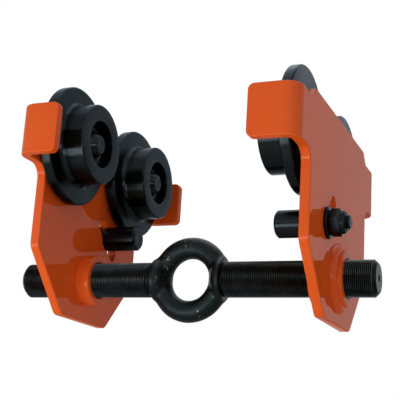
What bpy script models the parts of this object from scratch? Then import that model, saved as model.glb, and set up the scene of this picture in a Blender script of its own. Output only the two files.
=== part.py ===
"""Adjustable push beam trolley with an eye spindle, in metres with +Z up.

World X runs along the spindle and world Y along the beam. The origin lies on the floor,
below the centre of the eye. Both side assemblies are built once in a side frame: its
origin is on the spindle's axis at the plate's inner face, +X points inwards to the eye
and +Z up. The right side is the left one turned half a turn about Z.
"""
import math

import bmesh
import bpy
from mathutils import Matrix, Vector

MM = 0.001

# Fits
FIT_GAP = 0.3 * MM

# Spindle with its forged eye
SPINDLE_DIAMETER = 30.0 * MM
SPINDLE_LENGTH = 317.0 * MM
SPINDLE_CHAMFER = 1.6 * MM
CENTRE_DRILL_DIAMETER = 5.0 * MM
CENTRE_DRILL_DEPTH = 6.0 * MM
EYE_HOLE_DIAMETER = 36.0 * MM
EYE_BAR_DIAMETER = 18.4 * MM
EYE_NOSE_LENGTH = 12.5 * MM
EYE_SHOULDER_SETBACK = 4.4 * MM
EYE_FLOOR_GAP = 0.4 * MM

# Where the side plates stand on the spindle, measured from the eye to their inner faces
LEFT_PLATE_DISTANCE = 98.5 * MM
RIGHT_PLATE_DISTANCE = 118.5 * MM

# Side plates, bent from one thickness
PLATE_THICKNESS = 8.0 * MM
PLATE_EDGE_BEYOND_AXLE = 29.2 * MM
PLATE_EDGE_ABOVE_AXLE = 25.5 * MM
PLATE_FOOT_WIDTH = 80.0 * MM
PLATE_FOOT_RADIUS = 6.0 * MM
PLATE_KNEE_HEIGHT = 12.0 * MM
PLATE_KNEE_RADIUS = 10.0 * MM
BEND_INNER_RADIUS = 5.0 * MM
TAB_INWARD_LENGTH = 29.5 * MM
TAB_HEIGHT = 41.5 * MM
TAB_DROP_BELOW_AXLE = 25.5 * MM
TAB_CORNER_RADIUS = 5.0 * MM
TAB_ROOT_RADIUS = 4.5 * MM
TAB_WHEEL_CLEARANCE = 6.6 * MM

# Threaded bushes, welded in the plates
BUSH_FLANGE_DIAMETER = 45.2 * MM
BUSH_FLANGE_LENGTH = 6.6 * MM
BUSH_SPIGOT_DIAMETER = 42.4 * MM
BUSH_COLLAR_LENGTH = 9.0 * MM
BUSH_CHAMFER = 1.2 * MM
BUSH_WELD_LEG = 4.6 * MM

# Wheels
TREAD_DIAMETER = 67.8 * MM
FLANGE_DIAMETER = 101.2 * MM
FLANGE_THICKNESS = 8.8 * MM
FLANGE_CHAMFER = 1.0 * MM
FLANGE_FACE_TAPER = 0.7 * MM
FLANGE_FILLET = 5.2 * MM
WHEEL_WIDTH = 30.5 * MM
WHEEL_PLATE_GAP = 3.8 * MM
WHEEL_PAIR_GAP = 17.4 * MM
HUB_CHAMFER = 1.0 * MM
RECESS_CHAMFER = 0.5 * MM
BEARING_DEPTH = 9.2 * MM
BEARING_LIP = 3.0 * MM

# Ball bearings, 17 x 40 x 12
BEARING_BORE = 17.0 * MM
BEARING_OUTER_DIAMETER = 40.0 * MM
BEARING_WIDTH = 12.0 * MM
RACE_FLOOR = 1.5 * MM
BALL_GAP = 0.6 * MM
BALL_COUNT = 8
CAGE_THICKNESS = 1.2 * MM
CAGE_OVERHANG = 0.5 * MM
SEAL_WIDTH = 3.1 * MM
SEAL_THICKNESS = 0.8 * MM
SEAL_INSET = 0.4 * MM

# Circlips in the wheel bores
CIRCLIP_THICKNESS = 1.75 * MM
CIRCLIP_BAND = 2.9 * MM
CIRCLIP_GROOVE_DEPTH = 1.2 * MM
CIRCLIP_LUG_LENGTH = 5.6 * MM
CIRCLIP_LUG_WIDTH = 5.0 * MM
CIRCLIP_LUG_HOLE = 2.0 * MM
CIRCLIP_MOUTH = 4.0 * MM
CIRCLIP_TURN = math.radians(24.0)

# Cone-headed axle pins
AXLE_HEAD_RIM = 0.8 * MM
AXLE_TIP_DIAMETER = 15.2 * MM
AXLE_TIP_RECESS = 1.0 * MM
SPACER_WALL = 3.6 * MM

# Anti-lift pins in their inclined slots
PIN_DIAMETER = 22.0 * MM
PIN_LENGTH = 31.5 * MM
PIN_CHAMFER = 1.8 * MM
STUD_DIAMETER = 12.0 * MM
STUD_BEYOND_NUT = 1.8 * MM
STUD_CHAMFER = 1.0 * MM
SLOT_WIDTH = 13.0 * MM
SLOT_TRAVEL = 31.0 * MM
SLOT_ANGLE = math.radians(44.0)
SLOT_LOW_ALONG = 42.0 * MM
SLOT_LOW_HEIGHT = 33.0 * MM
PIN_FLANGE_CLEARANCE = 1.7 * MM
LEFT_PIN_RISE = 16.0 * MM
RIGHT_PIN_RISE = 4.0 * MM

# Washers and self-locking nuts of the pins
WASHER_DIAMETER = 24.0 * MM
WASHER_THICKNESS = 2.5 * MM
NUT_ACROSS_FLATS = 19.0 * MM
NUT_HEX_HEIGHT = 8.6 * MM
NUT_COLLAR_DIAMETER = 17.6 * MM
NUT_COLLAR_HEIGHT = 3.4 * MM
NUT_COLLAR_WALL = 1.0 * MM
NUT_CRIMP = 0.8 * MM
NUT_TURN = math.radians(8.0)
NYLON_THICKNESS = 1.9 * MM

# Facets round a full turn
WHEEL_SEGMENTS = 32
BAR_SEGMENTS = 24
BEARING_SEGMENTS = 16
BALL_SEGMENTS = 6
BALL_RINGS = 3
EYE_RING_SEGMENTS = 36
EYE_BAR_SEGMENTS = 12
LUG_HOLE_SEGMENTS = 8
CORNER_STEPS = 4
FILLET_STEPS = 2
GROOVE_STEPS = 3

# Worked out from the sizes above
EYE_RING_RADIUS = (EYE_HOLE_DIAMETER + EYE_BAR_DIAMETER) / 2
EYE_OUTER_RADIUS = EYE_RING_RADIUS + EYE_BAR_DIAMETER / 2
EYE_SHOULDER = EYE_OUTER_RADIUS - EYE_SHOULDER_SETBACK
SPINDLE_RADIUS = SPINDLE_DIAMETER / 2
PLATE_DROP = EYE_OUTER_RADIUS + EYE_FLOOR_GAP

AXLE_ALONG = (FLANGE_DIAMETER + WHEEL_PAIR_GAP) / 2
SLOT_DIRECTION = Vector((0.0, -math.sin(SLOT_ANGLE), math.cos(SLOT_ANGLE)))
SLOT_LOW = Vector((0.0, SLOT_LOW_ALONG, SLOT_LOW_HEIGHT))
SLOT_HIGH = SLOT_LOW + SLOT_DIRECTION * SLOT_TRAVEL
PIN_TO_AXLE = (FLANGE_DIAMETER + PIN_DIAMETER) / 2 + PIN_FLANGE_CLEARANCE
AXLE_HEIGHT = SLOT_HIGH.z + math.sqrt(PIN_TO_AXLE**2 - (AXLE_ALONG - SLOT_HIGH.y)**2)

PLATE_HALF_WIDTH = AXLE_ALONG + PLATE_EDGE_BEYOND_AXLE
PLATE_TOP = AXLE_HEIGHT + PLATE_EDGE_ABOVE_AXLE
TAB_BOTTOM = AXLE_HEIGHT - TAB_DROP_BELOW_AXLE
TAB_TOP = TAB_BOTTOM + TAB_HEIGHT
TAB_FACE = AXLE_ALONG + FLANGE_DIAMETER / 2 + TAB_WHEEL_CLEARANCE + PLATE_THICKNESS
BEND_OUTER_RADIUS = BEND_INNER_RADIUS + PLATE_THICKNESS

WHEEL_BACK = WHEEL_PLATE_GAP
WHEEL_FRONT = WHEEL_BACK + WHEEL_WIDTH
BEARING_FRONT = WHEEL_FRONT - BEARING_DEPTH
BEARING_BACK = BEARING_FRONT - BEARING_WIDTH
BEARING_SHOULDER = BEARING_BACK - FIT_GAP
AXLE_RADIUS = BEARING_BORE / 2
RACE_INNER_RADIUS = AXLE_RADIUS + FIT_GAP
RACE_OUTER_RADIUS = BEARING_OUTER_DIAMETER / 2 - FIT_GAP
PITCH_RADIUS = (RACE_INNER_RADIUS + RACE_OUTER_RADIUS) / 2
BALL_ROOM_ACROSS = (RACE_OUTER_RADIUS - RACE_INNER_RADIUS) / 2 - RACE_FLOOR - BALL_GAP
BALL_ROOM_ALONG = BEARING_WIDTH / 2 - SEAL_INSET - SEAL_THICKNESS - FIT_GAP - CAGE_OVERHANG
BALL_RADIUS = min(BALL_ROOM_ACROSS, BALL_ROOM_ALONG)
GROOVE_RADIUS = BALL_RADIUS + BALL_GAP
INNER_LAND_RADIUS = PITCH_RADIUS - SEAL_WIDTH / 2 - FIT_GAP
OUTER_LAND_RADIUS = PITCH_RADIUS + SEAL_WIDTH / 2 + FIT_GAP
CIRCLIP_BACK = BEARING_FRONT + FIT_GAP
CIRCLIP_FRONT = CIRCLIP_BACK + CIRCLIP_THICKNESS

PLATE_OUTSIDE = -PLATE_THICKNESS
WASHER_INSIDE = PLATE_OUTSIDE - FIT_GAP
NUT_INSIDE = WASHER_INSIDE - WASHER_THICKNESS - FIT_GAP
NUT_OUTSIDE = NUT_INSIDE - NUT_HEX_HEIGHT - NUT_COLLAR_HEIGHT
STUD_END = NUT_OUTSIDE - STUD_BEYOND_NUT


def material(name, colour, roughness, metallic):
    """Return a Principled material."""
    made = bpy.data.materials.new(name)
    made.use_nodes = True
    shader = made.node_tree.nodes["Principled BSDF"]
    shader.inputs["Base Color"].default_value = (*colour, 1.0)
    shader.inputs["Roughness"].default_value = roughness
    shader.inputs["Metallic"].default_value = metallic
    return made


def finished(bm, name, smooth_angle=35.0):
    """Turn a bmesh into a mesh with outward faces and sharp edges kept sharp."""
    bmesh.ops.recalc_face_normals(bm, faces=bm.faces)
    mesh = bpy.data.meshes.new(name)
    bm.to_mesh(mesh)
    bm.free()
    mesh.shade_smooth()
    mesh.set_sharp_from_angle(angle=math.radians(smooth_angle))
    return mesh


def turned(name, outline, segments):
    """Turn an outline of (x, radius) points about the X axis into a closed solid."""
    bm = bmesh.new()
    points = [bm.verts.new((x, 0.0, radius)) for x, radius in outline]
    edges = [bm.edges.new(pair) for pair in zip(points, points[1:])]
    if outline[0][1] > 0.0:
        edges.append(bm.edges.new((points[-1], points[0])))
    bmesh.ops.spin(bm, geom=points + edges, cent=(0, 0, 0), axis=(1, 0, 0),
                   angle=math.tau, steps=segments, use_merge=True)
    bmesh.ops.remove_doubles(bm, verts=bm.verts, dist=0.001 * MM)
    return finished(bm, name)


def prism(name, outline, direction, start, end):
    """Extrude a closed outline, given in the plane across direction, from start to end."""
    axis = Vector(direction)
    bm = bmesh.new()
    face = bm.faces.new([bm.verts.new(Vector(point) + axis * start) for point in outline])
    raised = bmesh.ops.extrude_face_region(bm, geom=[face])["geom"]
    moved = [item for item in raised if isinstance(item, bmesh.types.BMVert)]
    bmesh.ops.translate(bm, verts=moved, vec=axis * (end - start))
    return finished(bm, name)


def arc(centre, radius, start, end, steps):
    """Return points on an arc, both ends included, in any plane given as (a, b)."""
    turns = [start + (end - start) * step / steps for step in range(steps + 1)]
    return [(centre[0] + radius * math.cos(turn), centre[1] + radius * math.sin(turn))
            for turn in turns]


def rounded(corners, steps=CORNER_STEPS):
    """Round each (a, b, radius) corner of a closed outline; radius 0 keeps it sharp."""
    points = []
    count = len(corners)
    for index, (a, b, radius) in enumerate(corners):
        corner = Vector((a, b))
        if radius <= 0.0:
            points.append(corner)
            continue
        before = (Vector(corners[index - 1][:2]) - corner).normalized()
        after = (Vector(corners[(index + 1) % count][:2]) - corner).normalized()
        half_angle = before.angle(after) / 2
        reach = radius / math.tan(half_angle)
        centre = corner + (before + after).normalized() * (radius / math.sin(half_angle))
        first = corner + before * reach - centre
        last = corner + after * reach - centre
        sweep = first.angle_signed(last)
        for step in range(steps + 1):
            points.append(centre + Matrix.Rotation(-sweep * step / steps, 2) @ first)
    return points


def boolean(mesh, tools, operation, smooth_angle=35.0):
    """Apply one exact Boolean of each tool mesh to a mesh and return the result."""
    body = bpy.data.objects.new(mesh.name, mesh)
    bpy.context.collection.objects.link(body)
    helpers = []
    for tool in tools:
        helper = bpy.data.objects.new(tool.name, tool)
        helper.hide_render = True
        helper.display_type = "WIRE"
        bpy.context.collection.objects.link(helper)
        helpers.append(helper)
        step = body.modifiers.new(tool.name, "BOOLEAN")
        step.operation = operation
        step.solver = "EXACT"
        step.object = helper
    evaluated = body.evaluated_get(bpy.context.evaluated_depsgraph_get())
    result = bpy.data.meshes.new_from_object(evaluated)
    result.shade_smooth()
    result.set_sharp_from_angle(angle=math.radians(smooth_angle))
    for thing in [body] + helpers:
        bpy.data.objects.remove(thing)
    return result


def place(name, mesh, finish, parent, location=(0.0, 0.0, 0.0)):
    """Add one named piece that shows a mesh, in its parent's frame."""
    piece = bpy.data.objects.new(name, mesh)
    bpy.context.collection.objects.link(piece)
    if not mesh.materials:
        mesh.materials.append(finish)
    piece.parent = parent
    piece.location = location
    return piece


def frame(name, location, turn):
    """Add an empty that carries the pieces of one assembly."""
    empty = bpy.data.objects.new(name, None)
    bpy.context.collection.objects.link(empty)
    empty.location = location
    empty.rotation_euler = (0.0, 0.0, turn)
    return empty


def cylinder(name, radius, start, end, segments, location=(0.0, 0.0, 0.0)):
    """Return a plain cylinder along X, moved to a location."""
    mesh = turned(name, [(start, 0.0), (start, radius), (end, radius), (end, 0.0)], segments)
    mesh.transform(Matrix.Translation(location))
    return mesh


def eye_ring_mesh():
    """Return the forged ring, faced flat where the two spindle halves leave it."""
    bm = bmesh.new()
    section = arc((EYE_RING_RADIUS, 0.0), EYE_BAR_DIAMETER / 2, 0.0, math.tau, EYE_BAR_SEGMENTS)
    points = [bm.verts.new((radius, across, 0.0)) for radius, across in section[:-1]]
    edges = [bm.edges.new(pair) for pair in zip(points, points[1:] + points[:1])]
    bmesh.ops.spin(bm, geom=points + edges, cent=(0, 0, 0), axis=(0, 1, 0),
                   angle=math.tau, steps=EYE_RING_SEGMENTS, use_merge=True)
    bmesh.ops.remove_doubles(bm, verts=bm.verts, dist=0.001 * MM)
    ring = finished(bm, "eye_ring")
    reach = EYE_OUTER_RADIUS
    slab = prism("eye_slab", [(0.0, -reach, -2 * reach), (0.0, reach, -2 * reach),
                              (0.0, reach, 2 * reach), (0.0, -reach, 2 * reach)],
                 (1, 0, 0), -EYE_SHOULDER, EYE_SHOULDER)
    return boolean(ring, [slab], "INTERSECT")


def spindle_half_mesh(name):
    """Return one threaded half with its rounded nose inside the ring."""
    steps = 2 * CORNER_STEPS
    turns = [math.pi / 2 * step / steps for step in range(steps + 1)]
    nose = [(EYE_SHOULDER - EYE_NOSE_LENGTH * math.cos(turn), SPINDLE_RADIUS * math.sin(turn))
            for turn in turns]
    end = SPINDLE_LENGTH / 2
    drill = CENTRE_DRILL_DIAMETER / 2
    outline = nose + [
        (end - SPINDLE_CHAMFER, SPINDLE_RADIUS),
        (end, SPINDLE_RADIUS - SPINDLE_CHAMFER),
        (end, drill),
        (end - CENTRE_DRILL_DEPTH + drill, drill),
        (end - CENTRE_DRILL_DEPTH, 0.0),
    ]
    return turned(name, outline, BAR_SEGMENTS)


def spindle_mesh():
    """Join ring and threaded halves into the one forging."""
    right = spindle_half_mesh("right_half")
    left = spindle_half_mesh("left_half")
    left.transform(Matrix.Rotation(math.pi, 4, "Z"))
    return boolean(eye_ring_mesh(), [right, left], "UNION")


def plate_side_outline():
    """Return the plate's outline as seen along the spindle, bumper tabs included."""
    step = PLATE_TOP - TAB_TOP
    half = [
        (PLATE_FOOT_WIDTH / 2, -PLATE_DROP, PLATE_FOOT_RADIUS),
        (PLATE_HALF_WIDTH, PLATE_KNEE_HEIGHT, PLATE_KNEE_RADIUS),
        (PLATE_HALF_WIDTH, TAB_BOTTOM, TAB_ROOT_RADIUS),
        (TAB_FACE + BEND_OUTER_RADIUS, TAB_BOTTOM, 0.0),
        (TAB_FACE + BEND_OUTER_RADIUS, TAB_TOP, 0.0),
        (PLATE_HALF_WIDTH, TAB_TOP, 0.0),
        (PLATE_HALF_WIDTH - step, PLATE_TOP, 0.0),
    ]
    other = [(-along, height, radius) for along, height, radius in reversed(half)]
    return [(0.0, point.x, point.y) for point in rounded(half + other)]


def plate_plan_outline():
    """Return the bent sheet as seen from above: a plate with two tabs turned inwards."""
    steps = CORNER_STEPS
    inner_centre = TAB_FACE - BEND_OUTER_RADIUS
    bend = (-PLATE_THICKNESS + BEND_OUTER_RADIUS, inner_centre)
    outside = arc(bend, BEND_OUTER_RADIUS, math.pi, math.pi / 2, steps)
    inside = arc(bend, BEND_INNER_RADIUS, math.pi / 2, math.pi, steps)
    half = outside + [(TAB_INWARD_LENGTH, TAB_FACE), (TAB_INWARD_LENGTH, TAB_FACE - PLATE_THICKNESS)]
    half += inside
    other = [(across, -along) for across, along in reversed(half)]
    return [(across, along, 0.0) for across, along in half + other]


def slot_cutter_mesh():
    """Return the cutter of the inclined slot for the anti-lift pin."""
    radius = SLOT_WIDTH / 2
    low = (SLOT_LOW.y, SLOT_LOW.z)
    high = (SLOT_HIGH.y, SLOT_HIGH.z)
    facing = math.pi / 2 + SLOT_ANGLE
    steps = 2 * CORNER_STEPS
    outline = arc(high, radius, facing - math.pi / 2, facing + math.pi / 2, steps)
    outline += arc(low, radius, facing + math.pi / 2, facing + 3 * math.pi / 2, steps)
    points = [(0.0, along, height) for along, height in outline]
    return prism("slot", points, (1, 0, 0), -2 * PLATE_THICKNESS, PLATE_THICKNESS)


def round_tab_corners(mesh):
    """Round the four outer corners of the tabs."""
    bm = bmesh.new()
    bm.from_mesh(mesh)
    tolerance = 0.01 * MM
    corners = []
    for edge in bm.edges:
        at_end = all(abs(vert.co.x - TAB_INWARD_LENGTH) < tolerance for vert in edge.verts)
        first, second = edge.verts
        if at_end and abs(first.co.z - second.co.z) < tolerance:
            corners.append(edge)
    bmesh.ops.bevel(bm, geom=corners, offset=TAB_CORNER_RADIUS, segments=CORNER_STEPS,
                    profile=0.5, affect="EDGES")
    return finished(bm, mesh.name)


def side_plate_mesh():
    """Return one bent side plate with its slot and its bored holes."""
    seen_from_side = prism("plate_side_view", plate_side_outline(), (1, 0, 0),
                           -2 * PLATE_THICKNESS, 2 * TAB_INWARD_LENGTH)
    sheet = prism("side_plate", plate_plan_outline(), (0, 0, 1),
                  -2 * PLATE_DROP, 2 * PLATE_TOP)
    blank = round_tab_corners(boolean(sheet, [seen_from_side], "INTERSECT"))
    cutters = [cylinder("bush_hole", BUSH_SPIGOT_DIAMETER / 2 + FIT_GAP,
                        -2 * PLATE_THICKNESS, PLATE_THICKNESS, BAR_SEGMENTS)]
    for along in (-AXLE_ALONG, AXLE_ALONG):
        cutters.append(cylinder("axle_hole", AXLE_RADIUS + FIT_GAP, -2 * PLATE_THICKNESS,
                                PLATE_THICKNESS, BEARING_SEGMENTS, (0.0, along, AXLE_HEIGHT)))
    cutters.append(slot_cutter_mesh())
    return boolean(blank, cutters, "DIFFERENCE")


def bush_mesh():
    """Return the threaded bush with the fillet weld that holds its flange to the plate."""
    bore = SPINDLE_RADIUS + FIT_GAP
    flange = BUSH_FLANGE_DIAMETER / 2
    spigot = BUSH_SPIGOT_DIAMETER / 2
    seat = PLATE_OUTSIDE - FIT_GAP
    outer_end = seat - BUSH_FLANGE_LENGTH
    outline = [
        (outer_end, bore + BUSH_CHAMFER),
        (outer_end, flange - BUSH_CHAMFER / 2),
        (outer_end + BUSH_CHAMFER / 2, flange),
        (seat - BUSH_WELD_LEG, flange),
        (seat, flange + BUSH_WELD_LEG),
        (seat, spigot),
        (BUSH_COLLAR_LENGTH - BUSH_CHAMFER / 2, spigot),
        (BUSH_COLLAR_LENGTH, spigot - BUSH_CHAMFER / 2),
        (BUSH_COLLAR_LENGTH, bore + BUSH_CHAMFER),
        (BUSH_COLLAR_LENGTH - BUSH_CHAMFER, bore),
        (outer_end + BUSH_CHAMFER, bore),
    ]
    return turned("threaded_bush", outline, BAR_SEGMENTS)


def wheel_mesh():
    """Return one flanged wheel, bored for its bearing from the hub side."""
    rim = FLANGE_DIAMETER / 2
    tread = TREAD_DIAMETER / 2
    seat = BEARING_OUTER_DIAMETER / 2
    lip = seat - BEARING_LIP
    face = WHEEL_BACK + FLANGE_THICKNESS
    fillet_radius = FLANGE_FILLET - FLANGE_FACE_TAPER
    fillet_centre = (face + FLANGE_FILLET, tread + fillet_radius)
    fillet = arc(fillet_centre, fillet_radius, math.pi, 1.5 * math.pi, FILLET_STEPS)
    groove_back = CIRCLIP_BACK - FIT_GAP
    groove_front = CIRCLIP_FRONT + FIT_GAP
    outline = [
        (WHEEL_BACK, lip),
        (WHEEL_BACK, rim - FLANGE_CHAMFER),
        (WHEEL_BACK + FLANGE_CHAMFER, rim),
        (face - FLANGE_CHAMFER, rim),
        (face, rim - FLANGE_CHAMFER),
    ] + fillet + [
        (WHEEL_FRONT - HUB_CHAMFER, tread),
        (WHEEL_FRONT, tread - HUB_CHAMFER),
        (WHEEL_FRONT, seat + RECESS_CHAMFER),
        (WHEEL_FRONT - RECESS_CHAMFER, seat),
        (groove_front, seat),
        (groove_front, seat + CIRCLIP_GROOVE_DEPTH),
        (groove_back, seat + CIRCLIP_GROOVE_DEPTH),
        (groove_back, seat),
        (BEARING_SHOULDER, seat),
        (BEARING_SHOULDER, lip),
    ]
    return turned("wheel", outline, WHEEL_SEGMENTS)


def race_mesh(name, plain_radius, land_radius, groove_side):
    """Return a bearing ring whose ball groove faces the balls."""
    middle = (BEARING_BACK + BEARING_FRONT) / 2
    reach = abs(PITCH_RADIUS - land_radius)
    half = math.acos(reach / GROOVE_RADIUS)
    base = -math.pi / 2 if groove_side < 0 else math.pi / 2
    groove = arc((middle, PITCH_RADIUS), GROOVE_RADIUS, base - half, base + half, GROOVE_STEPS)
    if groove[0][0] < groove[-1][0]:
        groove.reverse()
    outline = [(BEARING_BACK, land_radius), (BEARING_BACK, plain_radius),
               (BEARING_FRONT, plain_radius), (BEARING_FRONT, land_radius)] + groove
    return turned(name, outline, BEARING_SEGMENTS)


def inner_ring_mesh():
    return race_mesh("inner_ring", RACE_INNER_RADIUS, INNER_LAND_RADIUS, -1)


def outer_ring_mesh():
    return race_mesh("outer_ring", RACE_OUTER_RADIUS, OUTER_LAND_RADIUS, 1)


def ball_set_mesh():
    """Return the balls held in their cage, centred on the axle's axis."""
    middle = (BEARING_BACK + BEARING_FRONT) / 2
    half_width = BALL_RADIUS + CAGE_OVERHANG
    inside = PITCH_RADIUS - CAGE_THICKNESS / 2
    outside = PITCH_RADIUS + CAGE_THICKNESS / 2
    cage = turned("ball_set", [(middle - half_width, inside), (middle - half_width, outside),
                               (middle + half_width, outside), (middle + half_width, inside)],
                  BALL_COUNT)
    balls = []
    for index in range(BALL_COUNT):
        turn = math.tau * index / BALL_COUNT
        bm = bmesh.new()
        bmesh.ops.create_uvsphere(bm, u_segments=BALL_SEGMENTS, v_segments=BALL_RINGS,
                                  radius=BALL_RADIUS)
        ball = finished(bm, "ball")
        ball.transform(Matrix.Translation((middle, PITCH_RADIUS * math.cos(turn),
                                           PITCH_RADIUS * math.sin(turn))))
        balls.append(ball)
    return boolean(cage, balls, "UNION")


def seal_mesh(name, start):
    """Return one sealing disc of the bearing."""
    inside = PITCH_RADIUS - SEAL_WIDTH / 2
    outside = PITCH_RADIUS + SEAL_WIDTH / 2
    end = start + SEAL_THICKNESS
    return turned(name, [(start, inside), (start, outside), (end, outside), (end, inside)],
                  BEARING_SEGMENTS)


def circlip_mesh():
    """Return the open spring ring with its two pierced lugs."""
    outer = BEARING_OUTER_DIAMETER / 2 + CIRCLIP_GROOVE_DEPTH - FIT_GAP
    inner = outer - CIRCLIP_BAND
    lug_end = outer - CIRCLIP_LUG_LENGTH
    opening = math.asin(CIRCLIP_MOUTH / 2 / outer)
    root = math.asin((CIRCLIP_MOUTH / 2 + CIRCLIP_LUG_WIDTH) / inner)
    side = CIRCLIP_MOUTH / 2
    far = side + CIRCLIP_LUG_WIDTH
    band_outside = arc((0.0, 0.0), outer, math.pi / 2 - opening, math.pi / 2 - math.tau + opening,
                       BEARING_SEGMENTS)
    band_inside = arc((0.0, 0.0), inner, math.pi / 2 - math.tau + root, math.pi / 2 - root,
                      BEARING_SEGMENTS)
    left_lug = [(-side, lug_end), (-far, lug_end)]
    right_lug = [(far, lug_end), (side, lug_end)]
    outline = [(0.0, along, height)
               for along, height in band_outside + left_lug + band_inside + right_lug]
    ring = prism("circlip", outline, (1, 0, 0), CIRCLIP_BACK, CIRCLIP_FRONT)
    hole_height = lug_end + CIRCLIP_LUG_LENGTH / 2.6
    holes = [cylinder("lug_hole", CIRCLIP_LUG_HOLE / 2, CIRCLIP_BACK - CIRCLIP_THICKNESS,
                      CIRCLIP_FRONT + CIRCLIP_THICKNESS, LUG_HOLE_SEGMENTS,
                      (0.0, sign * (side + CIRCLIP_LUG_WIDTH / 2), hole_height))
             for sign in (-1, 1)]
    mesh = boolean(ring, holes, "DIFFERENCE")
    mesh.transform(Matrix.Rotation(-CIRCLIP_TURN, 4, "X"))
    return mesh


def axle_mesh():
    """Return the cone-headed axle pin, flush with the plate's outer face."""
    head_base = BEARING_FRONT + FIT_GAP
    tip = WHEEL_FRONT - AXLE_TIP_RECESS
    outline = [
        (PLATE_OUTSIDE, 0.0),
        (PLATE_OUTSIDE, AXLE_RADIUS),
        (head_base, AXLE_RADIUS),
        (head_base, INNER_LAND_RADIUS),
        (head_base + AXLE_HEAD_RIM, INNER_LAND_RADIUS),
        (tip, AXLE_TIP_DIAMETER / 2),
        (tip, 0.0),
    ]
    return turned("axle_pin", outline, BEARING_SEGMENTS)


def spacer_mesh():
    """Return the sleeve that keeps the bearing off the plate."""
    start = FIT_GAP
    end = BEARING_BACK - FIT_GAP
    inside = AXLE_RADIUS + FIT_GAP
    outside = inside + SPACER_WALL
    return turned("spacer_sleeve", [(start, inside), (start, outside), (end, outside),
                                    (end, inside)], BEARING_SEGMENTS)


def pin_mesh():
    """Return the anti-lift pin with its stud."""
    radius = PIN_DIAMETER / 2
    stud = STUD_DIAMETER / 2
    end = FIT_GAP + PIN_LENGTH
    outline = [
        (STUD_END, 0.0),
        (STUD_END, stud - STUD_CHAMFER),
        (STUD_END + STUD_CHAMFER, stud),
        (FIT_GAP, stud),
        (FIT_GAP, radius),
        (end - PIN_CHAMFER, radius),
        (end, radius - PIN_CHAMFER),
        (end, 0.0),
    ]
    return turned("anti_lift_pin", outline, BAR_SEGMENTS)


def washer_mesh():
    """Return the flat washer outside the slot."""
    bore = STUD_DIAMETER / 2 + FIT_GAP
    rim = WASHER_DIAMETER / 2
    outer_face = WASHER_INSIDE - WASHER_THICKNESS
    return turned("washer", [(outer_face, bore), (outer_face, rim), (WASHER_INSIDE, rim),
                             (WASHER_INSIDE, bore)], BAR_SEGMENTS)


def nut_mesh():
    """Return the self-locking nut: a chamfered hexagon with a crimped collar."""
    bore = STUD_DIAMETER / 2 + FIT_GAP
    corner = NUT_ACROSS_FLATS / 2 / math.cos(math.pi / 6)
    chamfer_radius = NUT_ACROSS_FLATS / 2 * 0.95
    chamfer = (corner - chamfer_radius) * math.tan(math.radians(30.0))
    collar = NUT_COLLAR_DIAMETER / 2
    hex_end = NUT_INSIDE - NUT_HEX_HEIGHT
    pocket = collar - NUT_COLLAR_WALL
    pocket_floor = NUT_OUTSIDE + NUT_CRIMP + NYLON_THICKNESS + 2 * FIT_GAP
    outline = [
        (NUT_INSIDE, bore),
        (NUT_INSIDE, chamfer_radius),
        (NUT_INSIDE - chamfer, corner),
        (hex_end + chamfer, corner),
        (hex_end, chamfer_radius),
        (hex_end - (chamfer_radius - collar), collar),
        (NUT_OUTSIDE + NUT_CRIMP, collar),
        (NUT_OUTSIDE, collar - NUT_CRIMP),
        (NUT_OUTSIDE, pocket - NUT_CRIMP),
        (NUT_OUTSIDE + NUT_CRIMP, pocket - NUT_CRIMP),
        (NUT_OUTSIDE + NUT_CRIMP, pocket),
        (pocket_floor, pocket),
        (pocket_floor, bore),
    ]
    blank = turned("lock_nut", outline, BAR_SEGMENTS)
    corners = arc((0.0, 0.0), corner, NUT_TURN, NUT_TURN + math.tau, 6)
    hexagon = prism("hexagon", [(0.0, along, height) for along, height in corners[:-1]],
                    (1, 0, 0), NUT_OUTSIDE - NUT_HEX_HEIGHT, NUT_INSIDE + NUT_HEX_HEIGHT)
    return boolean(blank, [hexagon], "INTERSECT", 25.0)


def nylon_ring_mesh():
    """Return the locking ring held in the nut's collar."""
    start = NUT_OUTSIDE + NUT_CRIMP + FIT_GAP
    end = start + NYLON_THICKNESS
    inside = STUD_DIAMETER / 2 + FIT_GAP
    outside = NUT_COLLAR_DIAMETER / 2 - NUT_COLLAR_WALL - FIT_GAP
    return turned("nylon_ring", [(start, inside), (start, outside), (end, outside),
                                 (end, inside)], BEARING_SEGMENTS)


def add_wheel(side, position, parent, meshes, finishes, location):
    """Add one wheel set: the axle's fixed pieces and everything that turns on it."""
    tag = f"{side}_{position}"
    for kind in ("wheel", "outer_ring", "hub_seal", "plate_seal", "circlip", "ball_set",
                 "inner_ring", "spacer_sleeve", "axle_pin"):
        place(f"{tag}_{kind}", meshes[kind], finishes[kind], parent, location)


def add_side(side, meshes, finishes, distance, turn, pin_rise):
    """Add one side assembly in its own frame."""
    inward = 1.0 if turn == 0.0 else -1.0
    parent = frame(f"{side}_side_frame", (-inward * distance, 0.0, PLATE_DROP), turn)
    place(f"{side}_side_plate", meshes["side_plate"], finishes["side_plate"], parent)
    place(f"{side}_threaded_bush", meshes["threaded_bush"], finishes["threaded_bush"], parent)
    for position, along in (("front", -inward), ("rear", inward)):
        spot = (0.0, along * AXLE_ALONG, AXLE_HEIGHT)
        add_wheel(side, position, parent, meshes, finishes, spot)
    pin_spot = SLOT_LOW + SLOT_DIRECTION * pin_rise
    for kind in ("anti_lift_pin", "washer", "lock_nut", "nylon_ring"):
        place(f"{side}_{kind}", meshes[kind], finishes[kind], parent, pin_spot)


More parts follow.
